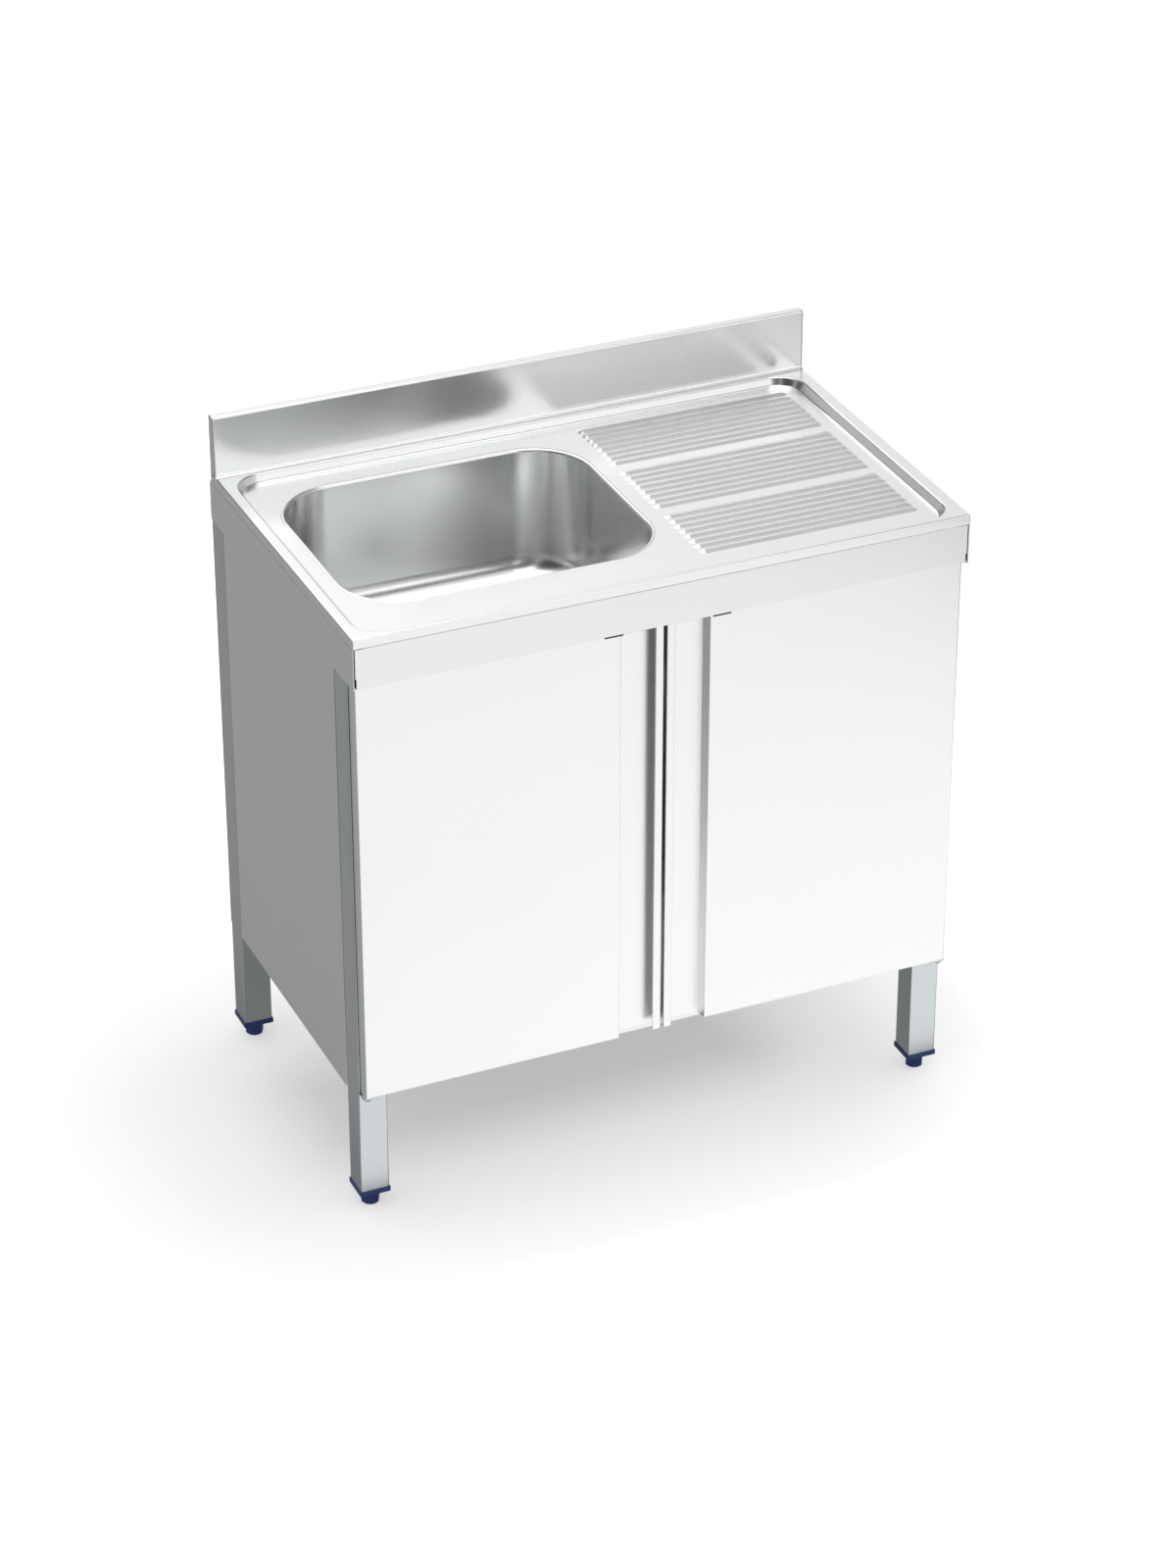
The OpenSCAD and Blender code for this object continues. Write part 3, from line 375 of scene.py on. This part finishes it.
# Drainer: rows across the ribs are fine everywhere, columns only near the rib ends
halfSpan = (d["groups"] - 1) / 2 * d["groupPitch"] + (d["inGroup"] - 1) / 2 * d["pitch"]
halfSpan += d["width"] / 2 + d["border"]
rowCount = int(round(2 * halfSpan / d["step"])) + 1
ys = np.linspace(d["middle"] - halfSpan, d["middle"] + halfSpan, rowCount)
leftEnd = np.linspace(d["left"] - d["border"], d["left"] + d["width"] / 2, d["endSteps"])
rightEnd = np.linspace(d["right"] - d["width"] / 2, d["right"] + d["border"], d["endSteps"])
xs = np.concatenate([leftEnd, np.linspace(leftEnd[-1], rightEnd[0], d["spans"] + 1)[1:-1], rightEnd])
gridX, gridY = np.meshgrid(xs, ys, indexing="ij")
gridZ = trayZ + ribHeight(gridX, gridY, d)
top.addGrid(fromCorner(np.stack([gridX, gridY, gridZ], axis=-1).reshape(-1, 3)), len(xs), len(ys))
drainLoop = np.concatenate([
    np.stack([xs, np.full_like(xs, ys[0])], 1), np.stack([np.full_like(ys, xs[-1]), ys], 1)[1:],
    np.stack([xs[::-1], np.full_like(xs, ys[-1])], 1)[1:], np.stack([np.full_like(ys, xs[0]), ys[::-1]], 1)[1:-1],
])
bowlPoints, bowlOuts = roundLoop(b["left"], b["front"], b["left"] + b["width"], b["front"] + b["length"],
                                 (b["corner"],) * 4, b["cornerSteps"])
trayLoop = trayPoints - trayOuts * (w["trayRun"] + w["floorSeam"])
points, faces = flatSheet([trayLoop, bowlPoints + bowlOuts * b["seamOut"], drainLoop], trayZ)
top.add(fromCorner(points), faces)
upSpot = fromCorner([[unitWidth / 2, w["trayFront"] / 2, w["rimHeight"]]])[0]
worktopPiece = top.build("pressed_worktop", finishes["worktopSteel"], w["thickness"], upSpot)
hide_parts("worktop")
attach(worktopPiece, "cabinet")
print("worktop:", len(worktopPiece.data.polygons), "faces")

# Bowl: rolled lip, wall, a crease where the round foot starts, and flat floor
floorZ = trayZ - b["depth"]
turn = math.radians(b["crease"])
footRound = b["footHeight"] / (1 - math.sin(turn))
footIn = -b["lip"] - footRound * math.cos(turn)
bowlProfile = np.concatenate([
    [(b["seamOut"], trayZ)],
    arc(0, trayZ - b["lip"], b["lip"], 90, 180, 12),
    arc(footIn, floorZ + footRound, footRound, -b["crease"], -90, 16),
    [(footIn - b["floorSeam"], floorZ)],
])
dish = Sheet()
dishPoints = fromCorner(sweptWall(bowlPoints, bowlOuts, bowlProfile))
dish.addGrid(dishPoints, len(bowlPoints), len(bowlProfile), closed=True)
middle = np.array([b["left"] + b["width"] / 2, b["front"] + b["length"] / 2])
holeAngle = np.radians(np.arange(0, 360, b["holeStep"]))
holeLoop = middle + b["wasteHole"] * np.stack([np.cos(holeAngle), np.sin(holeAngle)], 1)
points, faces = flatSheet([bowlPoints + bowlOuts * bowlProfile[-1, 0], holeLoop], floorZ)
dish.add(fromCorner(points), faces)
bowlPiece = dish.build("pressed_bowl", finishes["bowlSteel"], w["thickness"],
                       fromCorner([[middle[0] + 60, middle[1], floorZ]])[0], sharp=b["sharpFrom"])
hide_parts("bowl")
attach(bowlPiece, "cabinet")
print("bowl:", len(bowlPiece.data.polygons), "faces")

# Studio: what the steel mirrors, and an even level for all else. A lobe is a direction, the angles in degrees
# where it starts and where it is full, and its brightness. The levels were matched to the photograph by a fit
studio = {
    "low": 1.04, "high": 0.94, "lowEnd": 0.10, "highStart": 0.50, "plain": 0.80, "backdrop": 1.0,
    "lobes": [
        ((0.81, 0.06, 0.59), 39.3, 33.4, 0.01),
        ((0.26, -0.62, 0.74), 33.5, 28.2, 2.08),
        ((0.51, -0.41, 0.75), 14.0, 9.2, 0.02),
        ((0.00, 0.54, 0.84), 32.6, 27.5, 1.88),
        ((-0.85, 0.02, 0.53), 51.4, 43.7, 0.05),
        ((-0.21, 0.97, 0.14), 30.7, 16.2, 0.02),
        ((0.07, -0.91, 0.41), 35.4, 28.6, 0.10),
        ((0.85, -0.49, 0.20), 33.4, 28.3, 0.66),
        ((-0.53, 0.15, 0.84), 19.8, 16.8, 1.02),
        ((0.30, -0.91, 0.29), 20.8, 17.3, 1.63),
        ((-0.09, 0.12, 0.99), 31.4, 26.6, 1.98),
        ((-0.65, 0.37, 0.67), 27.6, 22.4, 0.69),
        ((0.57, 0.43, 0.70), 22.7, 19.3, 0.54),
    ],
}
world = bpy.data.worlds.new("studio")
scene.world = world
world.use_nodes = True
tree = world.node_tree
tree.nodes.clear()
direction = addNode(tree, "ShaderNodeTexCoord")
split = addNode(tree, "ShaderNodeSeparateXYZ", None, Vector=direction.outputs["Generated"])
bright = addNode(tree, "ShaderNodeMapRange", {"interpolation_type": "SMOOTHSTEP"}, Value=split.outputs[2],
                 From_Min=studio["lowEnd"], From_Max=studio["highStart"], To_Min=studio["low"], To_Max=studio["high"])
level = bright.outputs[0]
for aim, reach, core, value in studio["lobes"]:
    unit = Vector(aim).normalized()
    dot = addNode(tree, "ShaderNodeVectorMath", {"operation": "DOT_PRODUCT"},
                  i0=direction.outputs["Generated"], i1=unit)
    mask = addNode(tree, "ShaderNodeMapRange", {"interpolation_type": "SMOOTHSTEP"}, Value=dot.outputs["Value"],
                   From_Min=math.cos(math.radians(reach)), From_Max=math.cos(math.radians(core)))
    mixed = addNode(tree, "ShaderNodeMix", {"data_type": "FLOAT"}, Factor=mask.outputs[0], A=level, B=value)
    level = mixed.outputs[0]
path = addNode(tree, "ShaderNodeLightPath")
seen = addNode(tree, "ShaderNodeMix", {"data_type": "FLOAT"}, Factor=path.outputs["Is Glossy Ray"], A=studio["plain"],
               B=level)
seen = addNode(tree, "ShaderNodeMix", {"data_type": "FLOAT"}, Factor=path.outputs["Is Camera Ray"], A=seen.outputs[0],
               B=studio["backdrop"])
background = addNode(tree, "ShaderNodeBackground", None, Color=(1.0, 1.0, 1.0, 1.0), Strength=seen.outputs[0])
addNode(tree, "ShaderNodeOutputWorld", None, Surface=background.outputs[0])

# Floor: matt, with the real shadow, and a glow for the camera alone that grows with the distance from a fixed
# rectangle and turns it white, so that the glow's low level near the rectangle is a painted shadow added to the real
# one. The steel mirrors other levels, painted on the floor for glossy rays alone: bright in front, grey at the left,
# a painted shadow below
floor = {
    "size": 12.0, "albedo": 0.60, "middle": (-0.10, 0.00, 0.0), "half": (0.28, 0.06, 0.0),
    "glowWithPaintedShadow": [(0.0, 0.33), (0.05, 0.39), (0.085, 0.435), (0.12, 0.48),
             (0.22, 0.51), (0.35, 0.58), (0.46, 0.78), (0.62, 1.0)],
    "below": 0.277, "left": 0.383, "front": 1.16, "near": 1.23, "right": 0.48,
    "leftEdge": (-0.53, -0.46), "frontEdge": (-0.30, -0.25), "frontLeft": (-0.62, -0.42), "farNear": (-1.50, -0.60),
    "rightEdge": (1.22, 1.45),
}
bpy.ops.mesh.primitive_plane_add(size=floor["size"], location=(0, 0, 0))
floorPiece = bpy.context.object
floorPiece.name = "studio_floor"
material, tree = newMaterial("studio floor")
place = addNode(tree, "ShaderNodeTexCoord")
split = addNode(tree, "ShaderNodeSeparateXYZ", None, Vector=place.outputs["Object"])
path = addNode(tree, "ShaderNodeLightPath")


def stepAlong(axis, edge, low, high, kind="SMOOTHSTEP"):
    return addNode(tree, "ShaderNodeMapRange", {"interpolation_type": kind}, Value=split.outputs[axis],
                   From_Min=edge[0], From_Max=edge[1], To_Min=low, To_Max=high).outputs[0]


# Painted reflection: levels the floor shows to glossy rays alone, with a painted shadow below and beside the unit
aside = stepAlong(0, floor["leftEdge"], floor["left"], floor["below"])
closer = stepAlong(1, floor["farNear"], floor["front"], floor["near"], "LINEAR")
lit = stepAlong(0, floor["frontLeft"], floor["left"], closer)
lit = stepAlong(0, floor["rightEdge"], lit, floor["right"])
ahead = stepAlong(1, floor["frontEdge"], lit, aside)
paintedReflection = addNode(tree, "ShaderNodeEmission", None, Strength=ahead)
offset = addNode(tree, "ShaderNodeVectorMath", {"operation": "SUBTRACT"},
                 i0=place.outputs["Object"], i1=floor["middle"])
offset = addNode(tree, "ShaderNodeVectorMath", {"operation": "ABSOLUTE"}, i0=offset.outputs[0])
offset = addNode(tree, "ShaderNodeVectorMath", {"operation": "SUBTRACT"}, i0=offset.outputs[0], i1=floor["half"])
offset = addNode(tree, "ShaderNodeVectorMath", {"operation": "MAXIMUM"}, i0=offset.outputs[0], i1=(0.0, 0.0, 0.0))
away = addNode(tree, "ShaderNodeVectorMath", {"operation": "LENGTH"}, i0=offset.outputs[0])
# Painted shadow: the camera's glow is lowest at the fixed rectangle and rises to white away from it, whatever casts a
# shadow there
paintedShadowFalloff = addNode(tree, "ShaderNodeValToRGB", None, Fac=away.outputs["Value"])
stops = paintedShadowFalloff.color_ramp.elements
for spot, value in floor["glowWithPaintedShadow"][1:-1]:
    stops.new(spot)
for stop, (spot, value) in zip(stops, floor["glowWithPaintedShadow"]):
    stop.position = spot
    stop.color = (value, value, value, 1.0)
glowWithPaintedShadow = addNode(tree, "ShaderNodeMath", {"operation": "MULTIPLY"},
               i0=path.outputs["Is Camera Ray"], i1=paintedShadowFalloff.outputs[0])
cameraGlowWithPaintedShadow = addNode(tree, "ShaderNodeEmission", None, Strength=glowWithPaintedShadow.outputs[0])
matt = addNode(tree, "ShaderNodeBsdfDiffuse", None, Color=(floor["albedo"],) * 3 + (1.0,))
whole = addNode(tree, "ShaderNodeAddShader", None, i0=matt.outputs[0], i1=cameraGlowWithPaintedShadow.outputs[0])
both = addNode(tree, "ShaderNodeMixShader", None, i0=path.outputs["Is Glossy Ray"],
               i1=whole.outputs[0], i2=paintedReflection.outputs[0])
closeMaterial(tree, both)
floorPiece.data.materials.append(material)
print("studio set")
